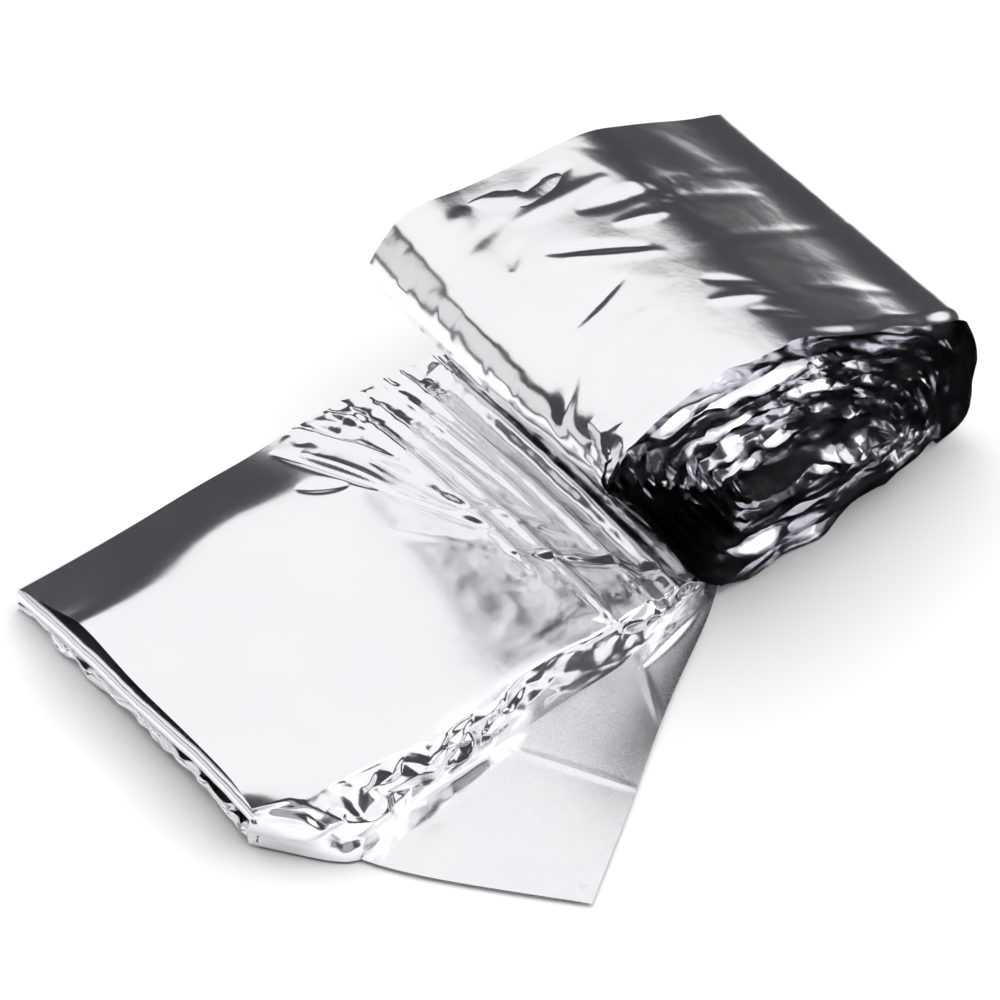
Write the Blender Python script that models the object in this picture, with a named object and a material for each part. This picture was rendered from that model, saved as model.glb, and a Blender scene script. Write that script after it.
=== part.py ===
"""Emergency foil blanket, half unrolled, as one solid.

One sheet of metallised film is folded lengthwise into a narrow band. Most of the band is wound into an
arched bundle. Its loose end lies out to the left as three open layers, and one corner of the sheet lies
flat in front of them. Each layer here stands for several plies of the film.

Metres, +Z up. +X runs along the band towards the bundle and -Y is the front. The origin is at the bottom
centre of the whole shape. The tables are in millimetres, with "deep" measured from the back edge of the
band towards the front.
"""

import math

import bpy
import numpy as np

MM = 0.001

BAND_WIDTH = 84.0  # the sheet is 1320 wide, folded in half four times
LAYER = 1.5  # thickness of one loose layer
TURN_LAYER = 2.4  # thickness of one turn of the bundle
TURNS = 7
LAP = 0.3  # how far the bundle's last turn sinks into the layer that it is the end of
LOWER_GAP = 0.7
UPPER_GAP = 0.4

# Heights of the middles of the layers where the bundle presses them flat.
BOTTOM_LEVEL = LAYER / 2
MIDDLE_LEVEL = BOTTOM_LEVEL + LAYER + LOWER_GAP
TOP_LEVEL = MIDDLE_LEVEL + LAYER + UPPER_GAP
ROLL_LEVEL = TOP_LEVEL + LAYER / 2 + TURN_LAYER / 2 - LAP

# The loose end, a row for each section along it. back, crest and centre are heights of the top layer,
# front_* is its front shoulder, foot is where its side comes down, and inside is the middle layer's height.
LOOSE_END = np.array(
    [
        # along, back, crest, centre, front_deep, front_high, foot, inside
        (0, 7.2, 17.5, 15.0, 86.4, 13.7, 89.0, 8.5),
        (12, 7.6, 17.3, 15.2, 91.0, 15.3, 100.0, 8.5),
        (29, 8.0, 17.0, 15.0, 92.6, 14.2, 98.0, 8.0),
        (45, 8.3, 16.0, 15.2, 93.8, 13.1, 96.0, 7.5),
        (67, 9.0, 14.0, 14.5, 89.6, 10.9, 93.9, 6.0),
        (75, 8.6, 12.6, 13.4, 88.6, 10.4, 93.4, 5.4),
        (82, 11.6, 14.2, 13.6, 88.0, 9.9, 93.0, 4.9),
        (89, 10.0, 10.8, 11.2, 87.8, 9.0, 92.8, 4.5),
        (96, 11.2, 12.4, 12.2, 87.5, 8.2, 92.4, 4.2),
        (104, 8.8, 9.6, 9.8, 86.5, 7.8, 90.0, 3.8),
        (112, 8.4, 9.4, 9.2, 85.4, 7.4, 88.0, 3.4),
        (119, TOP_LEVEL, TOP_LEVEL, TOP_LEVEL, 84.0, TOP_LEVEL, 85.4, MIDDLE_LEVEL),
        (188, TOP_LEVEL, TOP_LEVEL, TOP_LEVEL, 84.0, TOP_LEVEL, 85.4, MIDDLE_LEVEL),
    ]
)
SECTIONS = (0, 4, 8, 12, 20, 29, 37, 45, 56, 67, 75, 82, 89, 96, 104, 112, 119, 142, 165, 188)
CREST_DEEP = 23.0
CENTRE_DEEP = 53.0

# The free corner of the sheet: which section of the loose end fans out to which point of its outline.
CORNER = np.array(
    [
        # section, along, deep
        (0, 10.3, 87.1),
        (12, 17.5, 103.4),
        (45, 48.0, 141.8),
        (119, 127.0, 85.1),
        (142, 142.0, 83.0),
        (188, 188.0, 83.0),
    ]
)
LAYER_END_STEP = 2.0  # the middle layer ends this far short of the other two

# The bundle's last turn and the eye that the first turn goes round, point by matching point, clockwise
# as seen from the front, from the foot of the left flank round to the foot again.
BUNDLE = np.array(
    [
        # turn_along, turn_high, eye_along, eye_high
        (110.5, 26.6, 134.5, 32.6),
        (98.2, 47.0, 133.0, 33.8),
        (104.2, 57.2, 134.5, 35.0),
        (121.0, 60.2, 141.0, 36.0),
        (140.0, 60.4, 148.5, 35.7),
        (160.0, 55.0, 157.0, 33.6),
        (178.5, 44.6, 165.0, 30.6),
        (193.0, 31.4, 171.5, 27.0),
        (198.2, 19.6, 172.6, 25.4),
        (196.0, 10.0, 170.6, 24.8),
        (188.0, 6.5, 164.0, 27.4),
        (170.0, 6.5, 156.0, 30.2),
        (146.0, 6.5, 148.0, 31.8),
        (121.0, 6.5, 140.0, 32.2),
    ]
)
STEPS_PER_POINT = 2
FIRST_TURN = 0.2  # how far from the eye towards the last turn the winding starts, in turns
STATIONS = 5  # divisions of the bundle across the band
FRONT_RISE = 0.035  # the bundle stands this much higher at its front end, as a share of its height
END_RAGGED = 1.3  # how unevenly the turns end, front and back


def round_loop(points, place):
    """The point at place, 0 to 1, on a smooth closed curve through evenly numbered points."""
    count = len(points)
    at = place * count
    first = math.floor(at)
    t = at - first
    a, b, c, d = (points[(first + step) % count] for step in (-1, 0, 1, 2))
    return 0.5 * (2 * b + (c - a) * t + (2 * a - 5 * b + 4 * c - d) * t**2 + (3 * b - a - 3 * c + d) * t**3)


def winding():
    """The middle of the wound layer from the eye out to the last turn, as (along, high) points."""
    count = len(BUNDLE)
    full = TURNS + FIRST_TURN
    eye = BUNDLE[:, 2:]
    shares = np.array([(TURNS - 1 + (k + 1) / count + FIRST_TURN) / full for k in range(count)])
    outline = eye + (BUNDLE[:, :2] - eye) / shares[:, None]
    path = []
    steps = count * STEPS_PER_POINT
    for step in range(TURNS * steps + 1):
        turn = step / steps
        place = turn - 1 / count
        inner, outer = round_loop(eye, place % 1), round_loop(outline, place % 1)
        path.append(inner + (outer - inner) * (turn + FIRST_TURN) / full)
    path = np.array(path)
    path[:, 1] = np.maximum(path[:, 1], ROLL_LEVEL)
    return path


def sideways(path):
    """Unit normals of an open path of 2-D points, lengthened at a bend so that both walls stay parallel."""
    run = np.diff(path, axis=0)
    run /= np.linalg.norm(run, axis=1)[:, None]
    square = np.stack([-run[:, 1], run[:, 0]], axis=1)
    before, after = np.vstack([square[:1], square]), np.vstack([square, square[-1:]])
    middle = before + after
    middle /= np.linalg.norm(middle, axis=1)[:, None]
    return middle / np.maximum((middle * after).sum(axis=1), 0.75)[:, None]


def slab(name, outer, inner):
    """A closed object between two grids of points, which are in millimetres as (along, deep, high)."""
    rows, columns = outer.shape[:2]
    count = rows * columns
    points = np.concatenate([outer.reshape(-1, 3), inner.reshape(-1, 3)]) * (MM, -MM, MM)
    faces = []
    for r in range(rows - 1):
        for c in range(columns - 1):
            a, b = r * columns + c, (r + 1) * columns + c
            faces.append((a, a + 1, b + 1, b))
            faces.append((count + a, count + b, count + b + 1, count + a + 1))
    for r in range(rows - 1):
        for c in (0, columns - 1):
            a, b = r * columns + c, (r + 1) * columns + c
            rim = (a, b, count + b, count + a)
            faces.append(rim if c == 0 else rim[::-1])
    for c in range(columns - 1):
        for r in (0, rows - 1):
            a = r * columns + c
            rim = (a, count + a, count + a + 1, a + 1)
            faces.append(rim if r == 0 else rim[::-1])
    mesh = bpy.data.meshes.new(name)
    mesh.from_pydata(points.tolist(), [], faces)
    corners = np.array([points[list(face)] for face in faces])
    first, second, third, fourth = (corners[:, k] for k in range(4))
    volume = np.einsum("ij,ij->", first, np.cross(second, third) + np.cross(third, fourth))
    if volume < 0:
        mesh.flip_normals()
    made = bpy.data.objects.new(name, mesh)
    bpy.context.scene.collection.objects.link(made)
    return made


def bundle():
    """The wound part: one thick layer carried round the eye and across the band."""
    path = winding()
    out = sideways(path) * TURN_LAYER / 2
    turn = np.linspace(0, TURNS, len(path))
    back = 1.8 + END_RAGGED * np.sin(4.1 * turn + 0.6) * np.sin(1.7 * turn)
    front = BAND_WIDTH - 1.8 + END_RAGGED * np.sin(3.3 * turn + 2.0) * np.cos(2.3 * turn)
    walls = []
    for side in (1, -1):
        wall = path + side * out
        grid = np.empty((len(path), STATIONS + 1, 3))
        for station in range(STATIONS + 1):
            share = station / STATIONS
            above = wall[:, 1] - ROLL_LEVEL
            rise = 1 + FRONT_RISE * (2 * share - 1)
            grid[:, station, 0] = wall[:, 0]
            grid[:, station, 1] = back + (front - back) * share
            grid[:, station, 2] = ROLL_LEVEL + np.where(above > 0, above * rise, above)
        walls.append(grid)
    return slab("bundle_turns", *walls)


def arc(centre_deep, centre_high, radius, degrees):
    """Points (deep, high) on a fold, at the given angles from the front, anticlockwise seen from the left."""
    turned = [math.radians(a) for a in degrees]
    return [(centre_deep + radius * math.cos(a), centre_high + radius * math.sin(a)) for a in turned]


def section(along):
    """One section across the loose end, from the top layer's back edge, down its front side, back under
    it as the middle layer and forward on the ground as the bottom layer."""
    back, crest, centre, front_deep, front_high, foot, inside = (
        np.interp(along, LOOSE_END[:, 0], LOOSE_END[:, k]) for k in range(1, LOOSE_END.shape[1])
    )
    top = [
        (0.0, back),
        (CREST_DEEP * 0.5, back + (crest - back) * 0.62),
        (CREST_DEEP, crest),
        (38.0, crest + (centre - crest) * 0.7),
        (CENTRE_DEEP, centre),
        (70.0, centre + (front_high - centre) * 0.3),
        (front_deep - 2.5, front_high + 0.12 * (front_high - TOP_LEVEL)),
        (front_deep, front_high),
        ((front_deep + foot) / 2 + 0.4, (front_high + TOP_LEVEL) / 2),
    ]
    front_radius = (TOP_LEVEL - MIDDLE_LEVEL) / 2
    front_fold = arc(foot - front_radius, MIDDLE_LEVEL + front_radius, front_radius, (50, 0, -50, -90))
    raised = inside - MIDDLE_LEVEL
    middle = [(75.0, MIDDLE_LEVEL + 0.6 * raised), (50.0, inside), (24.0, MIDDLE_LEVEL + 0.8 * raised)]
    back_radius = (MIDDLE_LEVEL - BOTTOM_LEVEL) / 2
    back_fold = arc(3.0 + back_radius, BOTTOM_LEVEL + back_radius, back_radius, (90, 140, 180, 220, 270))
    bottom = [(24.0, BOTTOM_LEVEL), (50.0, BOTTOM_LEVEL), (80.0, BOTTOM_LEVEL)]
    return top, front_fold + middle + back_fold, bottom


def loose_end():
    """The unrolled part: three layers joined at their long folds, with the free corner of the lowest."""
    walls = ([], [])
    for along in SECTIONS:
        top, folded, bottom = section(along)
        reach = [np.interp(along, CORNER[:, 0], CORNER[:, k]) for k in (1, 2)]
        step = LAYER_END_STEP * max(0.0, 1 - along / 12)
        sheet = [(along, *p) for p in top] + [(along + step, *p) for p in folded]
        sheet += [(along + step / 2, *p) for p in bottom]
        start = np.array(sheet[-1])
        end = np.array([*reach, BOTTOM_LEVEL])
        sheet += [tuple(start + (end - start) * share) for share in (0.35, 0.7, 1.0)]
        sheet = np.array(sheet)
        out = sideways(sheet[:, 1:]) * LAYER / 2
        for wall, side in zip(walls, (1, -1), strict=True):
            shifted = sheet.copy()
            shifted[:, 1:] += side * out
            wall.append(shifted)
    return slab("foil_blanket", *(np.array(wall) for wall in walls))


def foil():
    """Bright metallised film."""
    made = bpy.data.materials.new("silver_film")
    made.use_nodes = True
    shader = made.node_tree.nodes["Principled BSDF"]
    shader.inputs["Base Color"].default_value = (0.83, 0.83, 0.85, 1.0)
    shader.inputs["Metallic"].default_value = 1.0
    shader.inputs["Roughness"].default_value = 0.12
    return made


for leftover in list(bpy.data.objects):
    bpy.data.objects.remove(leftover, do_unlink=True)

turns = bundle()
blanket = loose_end()
blanket.data.materials.append(foil())
turns.data.materials.append(blanket.data.materials[0])

places = np.array([tuple(v.co) for made in (turns, blanket) for v in made.data.vertices])
low, high = places.min(axis=0), places.max(axis=0)
for made in (turns, blanket):
    for vertex in made.data.vertices:
        vertex.co.x -= (low[0] + high[0]) / 2
        vertex.co.y -= (low[1] + high[1]) / 2
        vertex.co.z -= low[2]

turns.hide_render = True
turns.display_type = "WIRE"
joined = blanket.modifiers.new("bundle_joined", "BOOLEAN")
joined.operation = "UNION"
joined.solver = "EXACT"
joined.object = turns
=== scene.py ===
"""The looks of a half-unrolled emergency foil blanket: bright metallised film, folded into a band and
wound into an arched bundle. Sizes are in millimetres along the band, deep from its back edge, and high."""

import math

import bpy
import numpy as np
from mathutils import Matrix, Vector
from mathutils.bvhtree import BVHTree
from mathutils.geometry import delaunay_2d_cdt


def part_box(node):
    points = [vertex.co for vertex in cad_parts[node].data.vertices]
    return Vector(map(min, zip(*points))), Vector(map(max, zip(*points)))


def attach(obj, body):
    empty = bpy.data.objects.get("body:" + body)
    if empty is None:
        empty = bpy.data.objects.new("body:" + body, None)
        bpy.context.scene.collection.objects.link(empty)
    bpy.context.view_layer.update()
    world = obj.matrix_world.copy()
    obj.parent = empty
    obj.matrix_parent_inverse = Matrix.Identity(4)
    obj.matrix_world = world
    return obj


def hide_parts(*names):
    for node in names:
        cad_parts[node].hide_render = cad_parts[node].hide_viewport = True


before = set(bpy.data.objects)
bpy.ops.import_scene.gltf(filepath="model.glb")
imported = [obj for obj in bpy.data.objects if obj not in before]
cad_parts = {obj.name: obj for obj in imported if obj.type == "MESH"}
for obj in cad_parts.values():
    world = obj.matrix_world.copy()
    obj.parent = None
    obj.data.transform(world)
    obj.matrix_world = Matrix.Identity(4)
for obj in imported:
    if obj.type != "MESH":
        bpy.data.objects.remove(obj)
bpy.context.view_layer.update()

# The top layer of the loose end: film that slopes up from its back edge, lies almost flat, and is
# pressed into pleats where it goes under the bundle. Its front side hangs down crumpled to the ground.
# It is cut, not hemmed, and its left end is the cut edge of the sheet.
box_low, box_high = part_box("foil_blanket")
BACK_EDGE_INSET = 0.4
ROW_STEP = 0.55


def placed(points):
    """Millimetre points (along, deep, high) in the frame's metres."""
    points = np.asarray(points, float)
    return np.stack(
        [
            box_low[0] + points[..., 0] / 1000,
            box_high[1] - (points[..., 1] + BACK_EDGE_INSET) / 1000,
            box_low[2] + points[..., 2] / 1000,
        ],
        axis=-1,
    )


def film_sheet(name, grid, material):
    """One open sheet of film through a grid of millimetre points."""
    rows, columns = grid.shape[:2]
    at = np.arange(rows * columns).reshape(rows, columns)
    faces = np.stack([at[:-1, :-1], at[:-1, 1:], at[1:, 1:], at[1:, :-1]], axis=-1).reshape(-1, 4)
    mesh = bpy.data.meshes.new(name)
    mesh.from_pydata(placed(grid).reshape(-1, 3).tolist(), [], faces.tolist())
    mesh.shade_smooth()
    mesh.materials.append(material)
    piece = bpy.data.objects.new(name, mesh)
    bpy.context.scene.collection.objects.link(piece)
    return piece


def declare(piece):
    """Hang a film piece under the root body and hide the imported foil_blanket part."""
    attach(piece, "root")
    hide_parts("foil_blanket")


def spline(x, knots, values):
    """A natural cubic spline through the knots, sampled at x. values may have several columns."""
    knots, values = np.asarray(knots, float), np.asarray(values, float)
    h = np.diff(knots)
    count = len(knots)
    system, slopes = np.eye(count), np.zeros_like(values)
    for k in range(1, count - 1):
        system[k, k - 1 : k + 2] = h[k - 1], 2 * (h[k - 1] + h[k]), h[k]
        slopes[k] = 6 * ((values[k + 1] - values[k]) / h[k] - (values[k] - values[k - 1]) / h[k - 1])
    bend = np.linalg.solve(system, slopes)
    x = np.clip(x, knots[0], knots[-1])
    k = np.clip(np.searchsorted(knots, x) - 1, 0, count - 2)
    a, b = knots[k + 1] - x, x - knots[k]
    if values.ndim > 1:
        a, b, h = a[:, None], b[:, None], h[:, None]
    cubic = (bend[k] * a**3 + bend[k + 1] * b**3) / (6 * h[k])
    from_low = (values[k] / h[k] - bend[k] * h[k] / 6) * a
    from_high = (values[k + 1] / h[k] - bend[k + 1] * h[k] / 6) * b
    return cubic + from_low + from_high


def facets(x, y, size, seed, stretch=1.0):
    """Crumpled film: heights of about -1 to 1, flat between random points about size apart."""
    random = np.random.default_rng(seed)
    wide, tall = size * stretch, size
    low_x, low_y = x.min() - 2 * wide, y.min() - 2 * tall
    across = int((x.max() - low_x) / wide) + 4
    up = int((y.max() - low_y) / tall) + 4
    i, j = np.meshgrid(np.arange(across), np.arange(up), indexing="ij")
    shift = random.uniform(-0.45, 0.45, (2, across, up))
    points = np.stack([low_x + (i + shift[0]) * wide, low_y + (j + shift[1]) * tall], axis=-1).reshape(-1, 2)
    heights = random.uniform(-1, 1, len(points))
    flat, _, triangles, origin, _, _ = delaunay_2d_cdt([Vector(p) for p in points], [], [], 0, 1e-6)
    corners = [Vector((*p, heights[came[0]])) for p, came in zip(flat, origin, strict=True)]
    tree = BVHTree.FromPolygons(corners, triangles)
    down = Vector((0, 0, -1))
    found = [tree.ray_cast(Vector((a, b, 5)), down)[0] for a, b in zip(x.ravel(), y.ravel(), strict=True)]
    return np.array([p[2] if p else 0.0 for p in found]).reshape(x.shape)


def fold(x, y, start, end, height, width, lean=0.5):
    """A ridge, or a trough if height is negative, along a line, fading at both ends. lean is the share
    of its width on its left side."""
    (x0, y0), (x1, y1) = start, end
    length = math.hypot(x1 - x0, y1 - y0)
    along = ((x - x0) * (x1 - x0) + (y - y0) * (y1 - y0)) / length
    aside = ((x - x0) * (y1 - y0) - (y - y0) * (x1 - x0)) / length
    share = np.clip(along / length, 0, 1)
    fade = np.sin(math.pi * share) ** 0.7
    reach = np.where(aside < 0, 2 * width * lean, 2 * width * (1 - lean)) * (0.35 + 0.65 * fade)
    return height * fade * np.exp(-((aside / reach) ** 2))


def between(low, high, x):
    """0 below low, 1 above high, and smooth from one to the other."""
    t = np.clip((x - low) / (high - low), 0, 1)
    return t * t * (3 - 2 * t)


class Wire:
    """A shader socket. Arithmetic on it adds Math nodes."""

    def __init__(self, tree, socket):
        self.tree, self.socket = tree, socket

    def add(self, kind, output=0, settings=(), **inputs):
        """A new node of this kind, its settings first and then its sockets, as one of its outputs."""
        node = self.tree.nodes.new(kind)
        for name, value in dict(settings).items():
            setattr(node, name, value)
        for name, value in inputs.items():
            plug = node.inputs[int(name[1:]) if name[0] == "_" else name.replace("_", " ")]
            if isinstance(value, Wire):
                self.tree.links.new(value.socket, plug)
            else:
                plug.default_value = value
        return Wire(self.tree, node.outputs[output])

    def maths(self, operation, first, second):
        return self.add("ShaderNodeMath", settings={"operation": operation}, _0=first, _1=second)

    def __add__(self, other):
        return self.maths("ADD", self, other)

    def __mul__(self, other):
        return self.maths("MULTIPLY", self, other)

    def __sub__(self, other):
        return self.maths("SUBTRACT", self, other)

    def __rsub__(self, other):
        return self.maths("SUBTRACT", other, self)

    __radd__, __rmul__ = __add__, __mul__


def film(name, crinkle=1.0, rough=0.13, tint=(0.93, 0.93, 0.94)):
    """Vacuum-metallised film: mirror bright, finely crinkled, duller along its finest creases."""
    material = bpy.data.materials.new(name)
    material.use_nodes = True
    shader = material.node_tree.nodes["Principled BSDF"]
    shader.inputs["Metallic"].default_value = 1.0
    place = Wire(material.node_tree, None).add("ShaderNodeTexCoord", output="Object")
    waves = place.add("ShaderNodeTexNoise", Vector=place, Scale=160.0, Detail=4.0, Roughness=0.55)
    creases = place.add(
        "ShaderNodeTexVoronoi", settings={"feature": "DISTANCE_TO_EDGE"}, Vector=place, Scale=420.0
    )
    sharp = place.add("ShaderNodeMapRange", Value=creases, From_Max=0.12, To_Min=0.0, To_Max=1.0)
    grain = place.add("ShaderNodeTexNoise", Vector=place, Scale=1400.0, Detail=2.0)
    height = waves * 0.7 + sharp * 0.008 + grain * 0.04
    bumped = place.add("ShaderNodeBump", Strength=0.35 * crinkle, Distance=0.0006, Height=height)
    cloudy = place.add("ShaderNodeTexNoise", Vector=place, Scale=45.0, Detail=3.0)
    dulled = (1 - sharp) * 0.02 + cloudy * 0.06 + (rough - 0.01)
    duller = (tint[0] * 0.95, tint[1] * 0.95, tint[2] * 0.97, 1)
    colour = place.add(
        "ShaderNodeMix", output=2, settings={"data_type": "RGBA"}, Factor=cloudy, _6=(*tint, 1), _7=duller
    )
    links = material.node_tree.links
    links.new(colour.socket, shader.inputs["Base Color"])
    links.new(dulled.socket, shader.inputs["Roughness"])
    links.new(bumped.socket, shader.inputs["Normal"])
    return material


TOP_HEIGHTS = {
    # deep as a share of the way from the back edge to the front shoulder
    "share": (0.0, 0.11, 0.19, 0.26, 0.34, 0.47, 0.64, 0.84, 0.94, 1.0),
    0: (7.2, 11.1, 14.1, 16.6, 17.0, 16.0, 16.4, 17.0, 16.0, 13.8),
    14: (7.2, 11.2, 14.2, 16.2, 16.5, 15.9, 16.2, 16.8, 16.2, 15.0),
    32: (7.8, 11.7, 14.4, 15.6, 15.9, 15.8, 15.9, 16.2, 15.6, 14.2),
    49: (8.8, 12.6, 14.8, 15.4, 15.6, 15.6, 15.6, 15.4, 14.8, 13.1),
    64: (9.2, 12.0, 13.8, 14.6, 15.0, 15.1, 15.0, 14.2, 13.4, 11.8),
    80: (10.6, 12.2, 13.2, 13.8, 14.1, 14.3, 14.0, 13.0, 12.0, 10.4),
    96: (9.6, 10.4, 11.2, 11.6, 12.0, 12.2, 12.2, 11.2, 10.0, 8.2),
    113: (8.2, 8.4, 8.6, 8.8, 9.0, 9.2, 9.2, 8.6, 8.0, 7.2),
    124: (3.0, 3.0, 3.0, 3.0, 3.0, 3.0, 3.0, 3.0, 3.0, 3.0),
}
# along, front shoulder's deep, foot's deep, how far the side bulges
FRONT = np.array(
    [
        (0, 86.0, 84.0, 0.0),
        (6, 88.5, 92.0, 1.0),
        (14, 91.0, 101.0, 2.0),
        (29, 92.4, 98.5, 2.0),
        (45, 93.0, 96.0, 1.5),
        (67, 89.6, 94.5, 1.2),
        (81, 88.2, 93.4, 1.0),
        (96, 87.6, 92.6, 0.8),
        (112, 85.6, 88.0, 0.4),
        (124, 84.0, 84.6, 0.0),
    ]
)
stations = [k for k in TOP_HEIGHTS if k != "share"]
rows = np.arange(0, 124.01, ROW_STEP)
shares = np.linspace(0, 1, 165)
by_row = spline(rows, stations, np.array([TOP_HEIGHTS[k] for k in stations]))
top_high = spline(shares, TOP_HEIGHTS["share"], by_row.T).T
shoulder, foot, bulge = (spline(rows, FRONT[:, 0], FRONT[:, k]) for k in (1, 2, 3))
top_along = np.repeat(rows[:, None], len(shares), axis=1)
top_deep = shoulder[:, None] * shares[None, :]
crushed = between(72, 96, top_along)
pleats = np.zeros_like(top_along)
PLEATS = (
    # along at the back, along at the front, first deep, last deep, height, width, lean
    (86.5, 90.0, -8, 70, 1.5, 1.9, 0.5),
    (92.5, 97.0, -6, 96, 1.1, 1.5, 0.6),
    (98.0, 102.0, -10, 60, 1.3, 1.6, 0.4),
    (103.0, 107.5, -10, 98, 1.7, 1.8, 0.55),
    (108.5, 111.0, -4, 92, -1.6, 2.2, 0.5),
    (113.0, 114.5, -14, 98, 1.9, 1.5, 0.7),
    (117.5, 118.0, -10, 96, -0.8, 1.6, 0.5),
)
for back_at, front_at, first, last, high, wide, lean in PLEATS:
    pleats += fold(top_along, top_deep, (back_at, first), (front_at, last), high, wide, lean)
WRINKLES = (
    # from (along, deep) to (along, deep), height, width
    ((66, 3), (77, 30), -1.1, 1.6),
    ((70, 8), (80, 34), 0.8, 1.3),
    ((72, -4), (86, 26), 1.0, 1.5),
    ((62, 18), (72, 24), -0.8, 1.6),
    ((76, 30), (92, 58), -0.7, 1.2),
    ((70, 40), (94, 64), 0.35, 2.0),
    ((84, 34), (104, 66), 0.6, 1.3),
    ((88, 60), (112, 78), 0.9, 1.2),
    ((94, 66), (118, 84), -1.0, 1.4),
    ((80, 20), (90, 50), -0.8, 1.1),
    ((78, 2), (82, 14), -1.6, 1.6),
    ((83, 0), (86, 12), 1.6, 1.3),
)
for start, end, high, wide in WRINKLES:
    pleats += fold(top_along, top_deep, start, end, high, wide)
rough_patch = crushed * (0.35 + 0.65 * between(30, 0, np.abs(top_deep - 62) - 8))
back_patch = between(66, 74, top_along) * between(16, 6, top_deep)
crumple = 0.30 * facets(top_along, top_deep, 5.0, 11) + 0.16 * facets(top_along, top_deep, 2.2, 12)
soft_waves = 0.20 * facets(top_along, top_deep, 26.0, 13)
top_high = top_high + pleats + crumple * (crushed * 0.35 + rough_patch * 0.35 + 1.3 * back_patch)
top_high = top_high + soft_waves * between(60, 90, top_along)

# Its front side, from the shoulder down to the foot: 16 mm of crushed film, smooth for one stretch only.
SIDE_RUN = 16
SMOOTH_FROM, SMOOTH_TO, SMOOTH_FADE = 60, 104, (10, 8)
SMOOTH_HOLLOW = 1.6
FOOT_HIGH = 0.6
side_shares = np.linspace(0, 1, 44)[1:]
side_along = np.repeat(rows[:, None], len(side_shares), axis=1)
belly = np.sin(math.pi * side_shares)
side_deep = shoulder[:, None] + (foot - shoulder)[:, None] * side_shares + bulge[:, None] * belly
fallen = 0.55 * side_shares + 0.45 * side_shares**2
side_high = top_high[:, -1:] + (FOOT_HIGH - top_high[:, -1:]) * fallen
side_run = np.repeat((side_shares * SIDE_RUN)[None, :], len(rows), axis=0)
leaf = between(SMOOTH_FROM, SMOOTH_FROM + SMOOTH_FADE[0], side_along)
leaf = leaf * between(SMOOTH_TO, SMOOTH_TO - SMOOTH_FADE[1], side_along)
shove = 1.9 * facets(side_along, side_run, 6.0, 21, 1.4) + 0.9 * facets(side_along, side_run, 2.6, 22, 1.3)
shove *= (1 - 0.85 * leaf) * np.sin(math.pi * np.clip(side_shares * 1.08, 0, 1)) ** 0.6
side_deep = side_deep + shove - SMOOTH_HOLLOW * leaf * belly
side_high = np.maximum(side_high + 0.5 * shove, 0.4)
top_grid = np.concatenate(
    [
        np.stack([top_along, top_deep, top_high], axis=-1),
        np.stack([side_along, side_deep, side_high], axis=-1),
    ],
    axis=1,
)
top_layer = film_sheet("top_layer", top_grid, film("film_top", crinkle=0.25))
declare(top_layer)

# The layers under it: plies of the same film, folded back on themselves at the cut end, so that their
# rounded noses show in the open mouth, the lowest one crushed thin and wavy against the ground.
deep_line = np.linspace(-1.2, 86, 150)


def folded_under(name, upper, nose_along, thick, crush, seed, reach=60.0):
    """A ply that comes out to the left at height upper, turns over and goes back underneath."""
    high = spline(deep_line, *upper)
    tip = nose_along + crush * 1.2 * facets(deep_line, deep_line * 0, 5.0, seed)
    run = np.concatenate([np.linspace(reach, 6, 40), np.linspace(5.5, 0.6, 14)])
    turn = np.linspace(90, 270, 17)
    back = np.concatenate([np.linspace(0.6, 12, 20)])
    lines = []
    for step in run:
        lines.append(np.stack([tip + thick / 2 + step, deep_line, high], axis=-1))
    for angle in np.radians(turn):
        lines.append(
            np.stack(
                [
                    tip + thick / 2 + thick / 2 * math.cos(angle),
                    deep_line,
                    high - thick / 2 + thick / 2 * math.sin(angle),
                ],
                axis=-1,
            )
        )
    for step in back:
        lines.append(np.stack([tip + thick / 2 + step, deep_line, high - thick], axis=-1))
    grid = np.array(lines)
    along, deep = grid[..., 0], grid[..., 1]
    run_at = np.repeat(np.arange(len(grid))[:, None] * 0.5, len(deep_line), axis=1)
    grid[..., 2] += crush * facets(run_at, deep, 4.0, seed + 1) * between(30, 4, along)
    grid[..., 0] += crush * 0.8 * facets(run_at, deep, 2.4, seed + 2) * between(16, 4, along)
    grid[..., 2] = np.maximum(grid[..., 2], 0.25)
    return grid


MOUTH = (
    # name, (deep knots, heights), nose along, thickness, crush
    ("middle_ply", ((-1.2, 12, 26, 45, 65, 86), (6.2, 7.6, 9.0, 10.2, 12.6, 12.4)), -0.3, 4.4, 0.08),
    ("lower_ply", ((-1.2, 12, 26, 45, 65, 86), (3.0, 4.2, 5.2, 6.0, 7.6, 6.6)), 1.6, 1.6, 0.30),
    ("ground_ply", ((-1.2, 12, 26, 45, 65, 86), (1.8, 2.0, 2.8, 3.8, 4.4, 3.4)), 0.4, 2.0, 0.70),
)
for number, (name, upper, nose, thick, crush) in enumerate(MOUTH):
    ply = folded_under(name, upper, nose, thick, crush, 40 + 5 * number)
    declare(film_sheet(name, ply, film("film_" + name, crinkle=0.5)))

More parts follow.
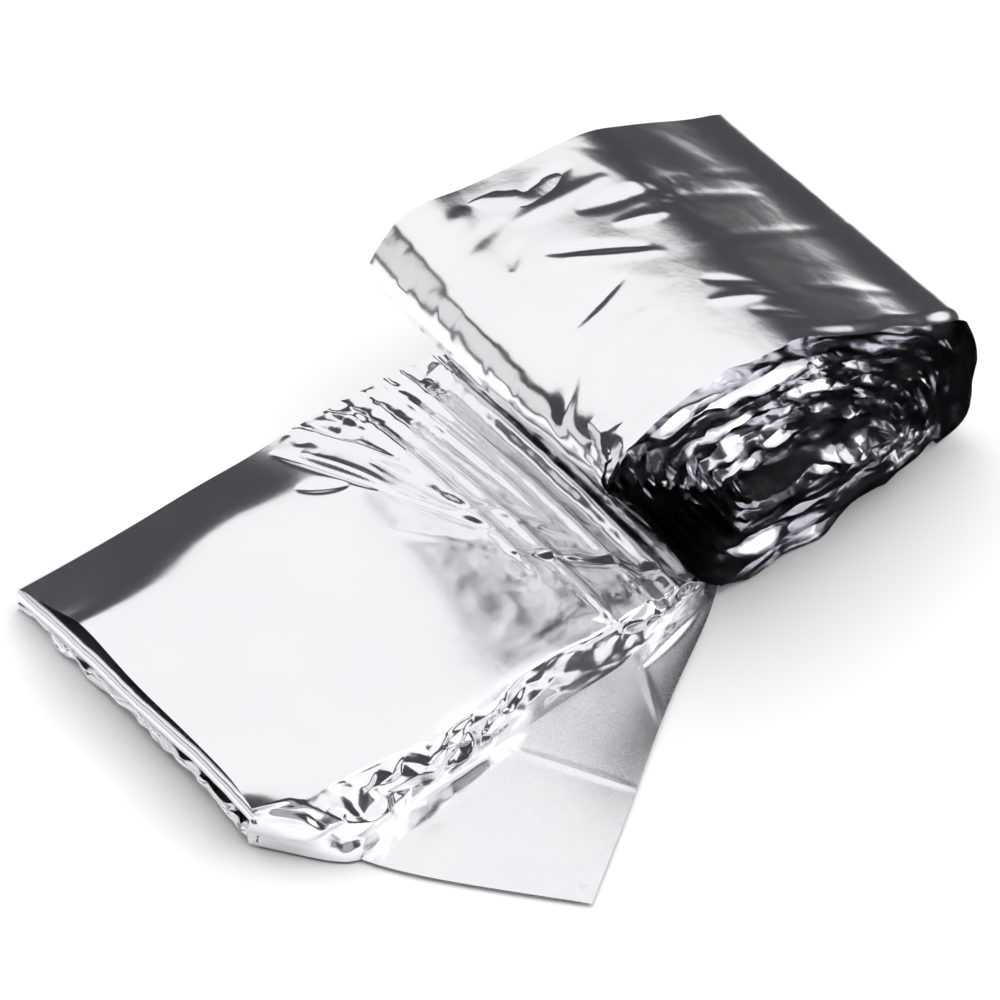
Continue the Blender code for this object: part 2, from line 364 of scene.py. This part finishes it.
# The free corner: the lowest ply of the sheet, opened out flat in front. It is one clean cut corner,
# with the faint marks of the folds that it was packed in.
CORNER_LEFT = ((4.0, 84.0), (10.3, 87.5), (17.2, 103.6), (32.0, 123.6), (48.0, 141.8))
CORNER_RIGHT = ((124.0, 70.0), (127.0, 85.1), (101.0, 104.0), (74.5, 122.9), (48.0, 141.8))
down = np.linspace(0, 1, 150)
left_line = spline(down, np.linspace(0, 1, 5), CORNER_LEFT)
right_line = spline(down, np.linspace(0, 1, 5), CORNER_RIGHT)
over = np.linspace(0, 1, 150)[None, :, None]
flat_places = left_line[:, None] * (1 - over) + right_line[:, None] * over
corner_along, corner_deep = flat_places[..., 0], flat_places[..., 1]
corner_high = 0.9 + 0.10 * facets(corner_along, corner_deep, 22.0, 61)
corner_high += 0.12 * facets(corner_along, corner_deep, 4.0, 62) * between(128, 138, corner_deep)
corner_high += 0.30 * facets(corner_along, corner_deep, 5.0, 63) * between(10, 0, 127 - corner_along)
CORNER_CREASES = (
    ((60, 96), (76, 124), 0.35, 0.8),
    ((102, 86), (90, 112), 0.30, 0.9),
    ((20, 104), (60, 98), 0.30, 1.6),
    ((96, 96), (118, 90), 0.8, 1.2),
)
for start, end, high, wide in CORNER_CREASES:
    corner_high += fold(corner_along, corner_deep, start, end, high, wide)
corner_grid = np.stack([corner_along, corner_deep, np.maximum(corner_high, 0.15)], axis=-1)
corner = film_sheet("free_corner", corner_grid, film("film_corner", crinkle=0.12, rough=0.24))
declare(corner)

# The bundle's outer turn: the band's last lap, drawn over a blunt left nose and an arched top, down the
# right-hand slope and under. Its shape changes from the back end to the front end.
OUTER = np.array(
    [
        # back along, back high, middle along, middle high, front along, front high
        (122.0, 4.0, 122.0, 4.0, 124.0, 3.0),
        (112.0, 22.0, 110.0, 24.0, 113.0, 22.0),
        (101.0, 40.0, 99.0, 42.0, 103.0, 40.0),
        (95.6, 48.6, 92.8, 51.0, 96.6, 49.5),
        (99.5, 54.0, 94.8, 56.6, 97.4, 54.0),
        (104.6, 58.0, 99.4, 60.4, 101.0, 57.6),
        (118.0, 57.4, 112.0, 62.4, 115.0, 62.6),
        (131.9, 55.7, 127.5, 62.4, 127.3, 64.4),
        (145.0, 54.6, 141.0, 60.4, 139.6, 63.4),
        (156.7, 53.0, 153.0, 57.8, 150.6, 60.8),
        (165.0, 49.6, 163.0, 53.4, 161.6, 56.0),
        (175.0, 44.8, 176.0, 46.8, 176.7, 48.6),
        (188.0, 38.4, 189.0, 40.2, 189.0, 42.2),
        (196.6, 34.0, 197.2, 35.8, 197.0, 37.8),
        (199.6, 28.0, 199.7, 29.0, 199.7, 30.0),
        (199.4, 14.0, 199.6, 14.0, 199.6, 14.0),
        (197.5, 4.0, 197.6, 4.0, 197.8, 4.0),
        (190.0, 0.9, 190.0, 0.9, 190.0, 0.9),
    ]
)
profile_knots = np.concatenate([[0], np.cumsum(np.linalg.norm(np.diff(OUTER[:, 2:4], axis=0), axis=1))])
run_line = np.arange(0, profile_knots[-1], 0.6)
profiles = spline(run_line, profile_knots, OUTER)
BAND_WIDTH = 84.0
WRAP_DEEP = np.linspace(0, BAND_WIDTH, 150)
across_knots = (0.0, 51.3, BAND_WIDTH)
wrap_along = spline(WRAP_DEEP, across_knots, profiles[:, 0::2].T).T
wrap_high = spline(WRAP_DEEP, across_knots, profiles[:, 1::2].T).T
wrap_deep = np.repeat(WRAP_DEEP[None, :], len(run_line), axis=0)
slope_along, slope_high = np.gradient(wrap_along, axis=0), np.gradient(wrap_high, axis=0)
steep = np.hypot(slope_along, slope_high)
out_along, out_high = -slope_high / steep, slope_along / steep
top_side = between(0.2, 0.7, out_high)
BUNDLE_WRINKLES = (
    # from (along, deep) to (along, deep), height, width
    ((94, 70), (108, 59), -1.5, 1.5),
    ((99, 74), (116, 56), 0.8, 1.8),
    ((110, 53), (131, 46), -1.0, 1.0),
    ((108, 62), (128, 58), 0.5, 1.6),
    ((112, 66), (131, 61), -0.6, 1.6),
    ((100, 78), (121, 71), 0.7, 1.7),
    ((121, 29), (142, 41), -0.8, 1.4),
    ((124, 33), (144, 44), 0.5, 1.6),
    ((112, 30), (120, 22), -0.5, 1.0),
    ((128, 13), (146, 7), -1.0, 1.6),
    ((122, 17), (150, 15), 0.6, 1.9),
    ((108, 12), (118, 6), 0.5, 1.5),
    ((104, 20), (122, 14), -0.4, 1.6),
    ((136, 22), (158, 25), -0.7, 1.8),
    ((140, 30), (154, 33), 0.5, 1.2),
    ((144, 56), (156, 64), -0.6, 1.3),
    ((140, 63), (156, 68), 0.6, 1.3),
    ((146, 70), (158, 77), -0.6, 1.2),
    ((150, 20), (190, 22), 0.35, 1.5),
    ((156, 28), (182, 31), 0.55, 1.6),
    ((150, 45), (198, 46), 0.5, 1.5),
    ((164, 66), (186, 72), 0.5, 1.6),
    ((92, 78), (102, 82), -1.6, 1.6),
    ((102, 84), (116, 80), -1.2, 1.5),
    ((97, 20), (97, 44), 0.5, 1.6),
)
shift = np.zeros_like(wrap_along)
for start, end, high, wide in BUNDLE_WRINKLES:
    faint = 0.6 - 0.35 * between(146, 156, 0.5 * (start[0] + end[0]))
    shift += fold(wrap_along, wrap_deep, start, end, faint * high, 1.4 * wide) * top_side
nose_side = between(0.9, 0.5, out_high) * between(110, 100, wrap_along)
run_grid = np.repeat(run_line[:, None], len(WRAP_DEEP), axis=1)
shift += 0.22 * facets(run_grid, wrap_deep, 24.0, 71) + 0.07 * facets(run_grid, wrap_deep, 9.0, 77)
front_left = between(60, 95, wrap_deep) * between(134, 100, wrap_along)
shift += 0.16 * facets(run_grid, wrap_deep, 6.0, 72, 1.6) * front_left
shift += 0.20 * facets(run_grid, wrap_deep, 3.0, 73) * nose_side
shift += 0.5 * facets(run_grid, wrap_deep, 5.0, 74) * between(0.1, -0.2, out_high)
from_knot = np.hypot(wrap_along - 156, wrap_deep - 27)
shift += 0.12 * facets(run_grid, wrap_deep, 2.6, 75) * between(14, 0, from_knot)
lip = between(BAND_WIDTH - 3.5, BAND_WIDTH, wrap_deep) * between(146, 160, wrap_along)
shift -= 0.9 * lip * between(0.0, 0.4, out_high)
edge_wave = 0.8 * facets(run_grid, wrap_deep * 0, 7.0, 76) * between(BAND_WIDTH - 10, BAND_WIDTH, wrap_deep)
wrap_grid = np.stack(
    [wrap_along + out_along * shift, wrap_deep + edge_wave, np.maximum(wrap_high + out_high * shift, 0.4)],
    axis=-1,
)
outer_turn = film_sheet("outer_turn", wrap_grid, film("film_outer", crinkle=0.3))
declare(outer_turn)

# The bundle's inner turns: the same band lap on lap, its plies' long folds showing at both ends as a
# dense, crinkled stack of edges, ragged where each lap was pulled a little out of line.
EYE = np.array(
    [
        (134, 29), (132, 30), (130, 31), (129, 32), (129.5, 33), (131, 34), (137, 35), (143, 35), (150, 34.4),
        (157, 33), (163, 31), (168, 28.4), (171, 26.4), (172, 24.8), (171.4, 24.2), (170, 24.2), (166, 24.6),
        (158, 26.4),
    ]
)
LAPS = 19
LAP_STEPS = 150
LOW_LAPS_SPLAY = 0.10
INNER_LAPS_PROUD = 5.0
GROUND_RUN = np.array([(176.0, 0.9), (158.0, 0.9), (140.0, 1.2)])
outline = np.concatenate([OUTER[:, 2:4], GROUND_RUN])
eye = np.concatenate([EYE, [(154, 27), (148, 28), (140, 28.6)]])
steps = np.arange(LAPS * LAP_STEPS)
places = (steps / LAP_STEPS) % 1 * len(outline)
loop = np.arange(-3, len(outline) + 4)
turns_out = spline(places, loop, outline[loop % len(outline)])
turns_eye = spline(places, loop, eye[loop % len(outline)])
share_out = 0.06 + 0.90 * steps / len(steps)
lap_path = turns_eye + (turns_out - turns_eye) * share_out[:, None]
near_end = np.concatenate([np.linspace(0, 9, 15), np.linspace(14, 70, 9), np.linspace(75, BAND_WIDTH, 15)])
lap_run = np.repeat((steps * 1.15)[:, None], len(near_end), axis=1)
lap_deep = np.repeat(near_end[None, :], len(steps), axis=0)
END_REACH = 18
at_end = between(BAND_WIDTH - END_REACH, BAND_WIDTH, lap_deep) + between(END_REACH, 0, lap_deep)
direction = np.gradient(lap_path, axis=0)
direction /= np.linalg.norm(direction, axis=1)[:, None]
normal = np.stack([-direction[:, 1], direction[:, 0]], axis=1)
ruffle = 0.8 * facets(lap_run, lap_deep, 7.0, 81, 2.4) + 0.45 * facets(lap_run, lap_deep, 3.0, 82, 3.0)
ruffle += 0.22 * facets(lap_run, lap_deep, 1.6, 83, 2.0)
ruffle *= 0.10 + 0.90 * at_end
droop = (1.8 + 1.2 * facets(lap_run, lap_deep * 0, 8.0, 86)) * between(BAND_WIDTH - 5, BAND_WIDTH, lap_deep)
droop += 1.4 * between(4.0, 0.0, lap_deep)
rise = np.interp(lap_deep, across_knots, (-0.06, 0.0, 0.02))
ragged = 2.2 * facets(lap_run, lap_deep * 0, 9.0, 84) + 0.9 * facets(lap_run, lap_deep * 0, 2.5, 85)
splay = LOW_LAPS_SPLAY * np.clip(56 - lap_path[:, 1:], 0, 52) * between(200, 150, lap_path[:, :1])
splay += INNER_LAPS_PROUD * (1 - share_out)[:, None]
front_end, back_end = ragged - 1.6 + splay * at_end, 1.4 - 0.6 * ragged
ends_deep = lap_deep + np.where(lap_deep > BAND_WIDTH / 2, front_end, back_end) * at_end
lap_along = lap_path[:, :1] + normal[:, :1] * ruffle
lap_high = lap_path[:, 1:] * (1 + rise) + normal[:, 1:] * ruffle - droop
lap_grid = np.stack(
    [np.clip(lap_along, 93.5, 199.2), ends_deep, np.maximum(lap_high, 0.3)], axis=-1
)
half = len(lap_grid) // 2
# The laps inside the bundle get a slightly darker copy of the film colour: painted shade for film that lies
# deep in the bundle.
PAINTED_SHADE_FILM = (0.90, 0.90, 0.925)
for name, part in (("inner_turns", lap_grid[: half + 1]), ("outer_laps", lap_grid[half:])):
    finish = film("film_" + name, crinkle=0.8, tint=PAINTED_SHADE_FILM)
    declare(film_sheet(name, part, finish))

# The studio: a pale floor, one big soft light above and behind, four smaller ones round it that fill
# the floor and brighten the ends of the layers, and a camera with a long lens.
FLOOR_HALF = 0.62
FLOOR_HIGH = -0.0002
floor_mesh = bpy.data.meshes.new("floor")
floor_mesh.from_pydata(
    [(x * FLOOR_HALF, y * FLOOR_HALF, FLOOR_HIGH) for x, y in ((-1, -1), (1, -1), (1, 1), (-1, 1))],
    [],
    [(0, 1, 2, 3)],
)
floor = bpy.data.objects.new("floor", floor_mesh)
bpy.context.scene.collection.objects.link(floor)
paper = bpy.data.materials.new("white_paper")
paper.use_nodes = True
paper_shader = paper.node_tree.nodes["Principled BSDF"]
paper_shader.inputs["Base Color"].default_value = (0.93, 0.93, 0.93, 1)
paper_shader.inputs["Roughness"].default_value = 0.9
paper_shader.inputs["Specular IOR Level"].default_value = 0.0
floor_mesh.materials.append(paper)

VIEW_FROM = Vector((-0.4085, -0.5344, 0.7382)).normalized()
AWAY = Vector((0.607, 0.794, 0.0)).normalized()
LIGHT_DISTANCE = 3.0


def soft_light(name, elevation, turned, wide, tall, brightness, mirrored=True):
    """A large soft box aimed at the blanket, at this elevation and turned so far from straight behind it."""
    lamp = bpy.data.lights.new(name, "AREA")
    lamp.shape = "RECTANGLE"
    lamp.size, lamp.size_y = wide, tall
    lamp.energy = brightness * math.pi * wide * tall
    light = bpy.data.objects.new(name, lamp)
    bpy.context.scene.collection.objects.link(light)
    heading = math.atan2(AWAY.y, AWAY.x) + math.radians(turned)
    rise_angle = math.radians(elevation)
    towards = Vector(
        (
            math.cos(rise_angle) * math.cos(heading),
            math.cos(rise_angle) * math.sin(heading),
            math.sin(rise_angle),
        )
    )
    light.location = towards * LIGHT_DISTANCE
    light.rotation_euler = towards.to_track_quat("Z", "Y").to_euler()
    light.visible_glossy = mirrored


soft_light("back_softbox", 62, 0, 7.5, 4.4, 0.95)
soft_light("floor_fill", 75, 0, 4.0, 4.0, 1.6, mirrored=False)
soft_light("front_card", 40, -102, 3.0, 2.8, 1.0)
soft_light("near_card", 16, 170, 2.2, 1.3, 0.4)
soft_light("left_card", 17, 97, 3.0, 1.5, 0.75)

world = bpy.data.worlds.new("studio")
world.use_nodes = True
world.node_tree.nodes["Background"].inputs["Color"].default_value = (0.055, 0.055, 0.06, 1)
bpy.context.scene.world = world
bpy.context.scene.view_settings.view_transform = "Standard"

AIM = placed((92.2, 51.9, 20.0))
DISTANCE = 1.8
WIDE = 0.2182
eye_of_camera = bpy.data.cameras.new("camera")
eye_of_camera.sensor_width = 36
eye_of_camera.lens = 36 * DISTANCE / WIDE
camera = bpy.data.objects.new("camera", eye_of_camera)
bpy.context.scene.collection.objects.link(camera)
camera.location = Vector(AIM) + VIEW_FROM * DISTANCE
camera.rotation_euler = VIEW_FROM.to_track_quat("Z", "Y").to_euler()
bpy.context.scene.camera = camera
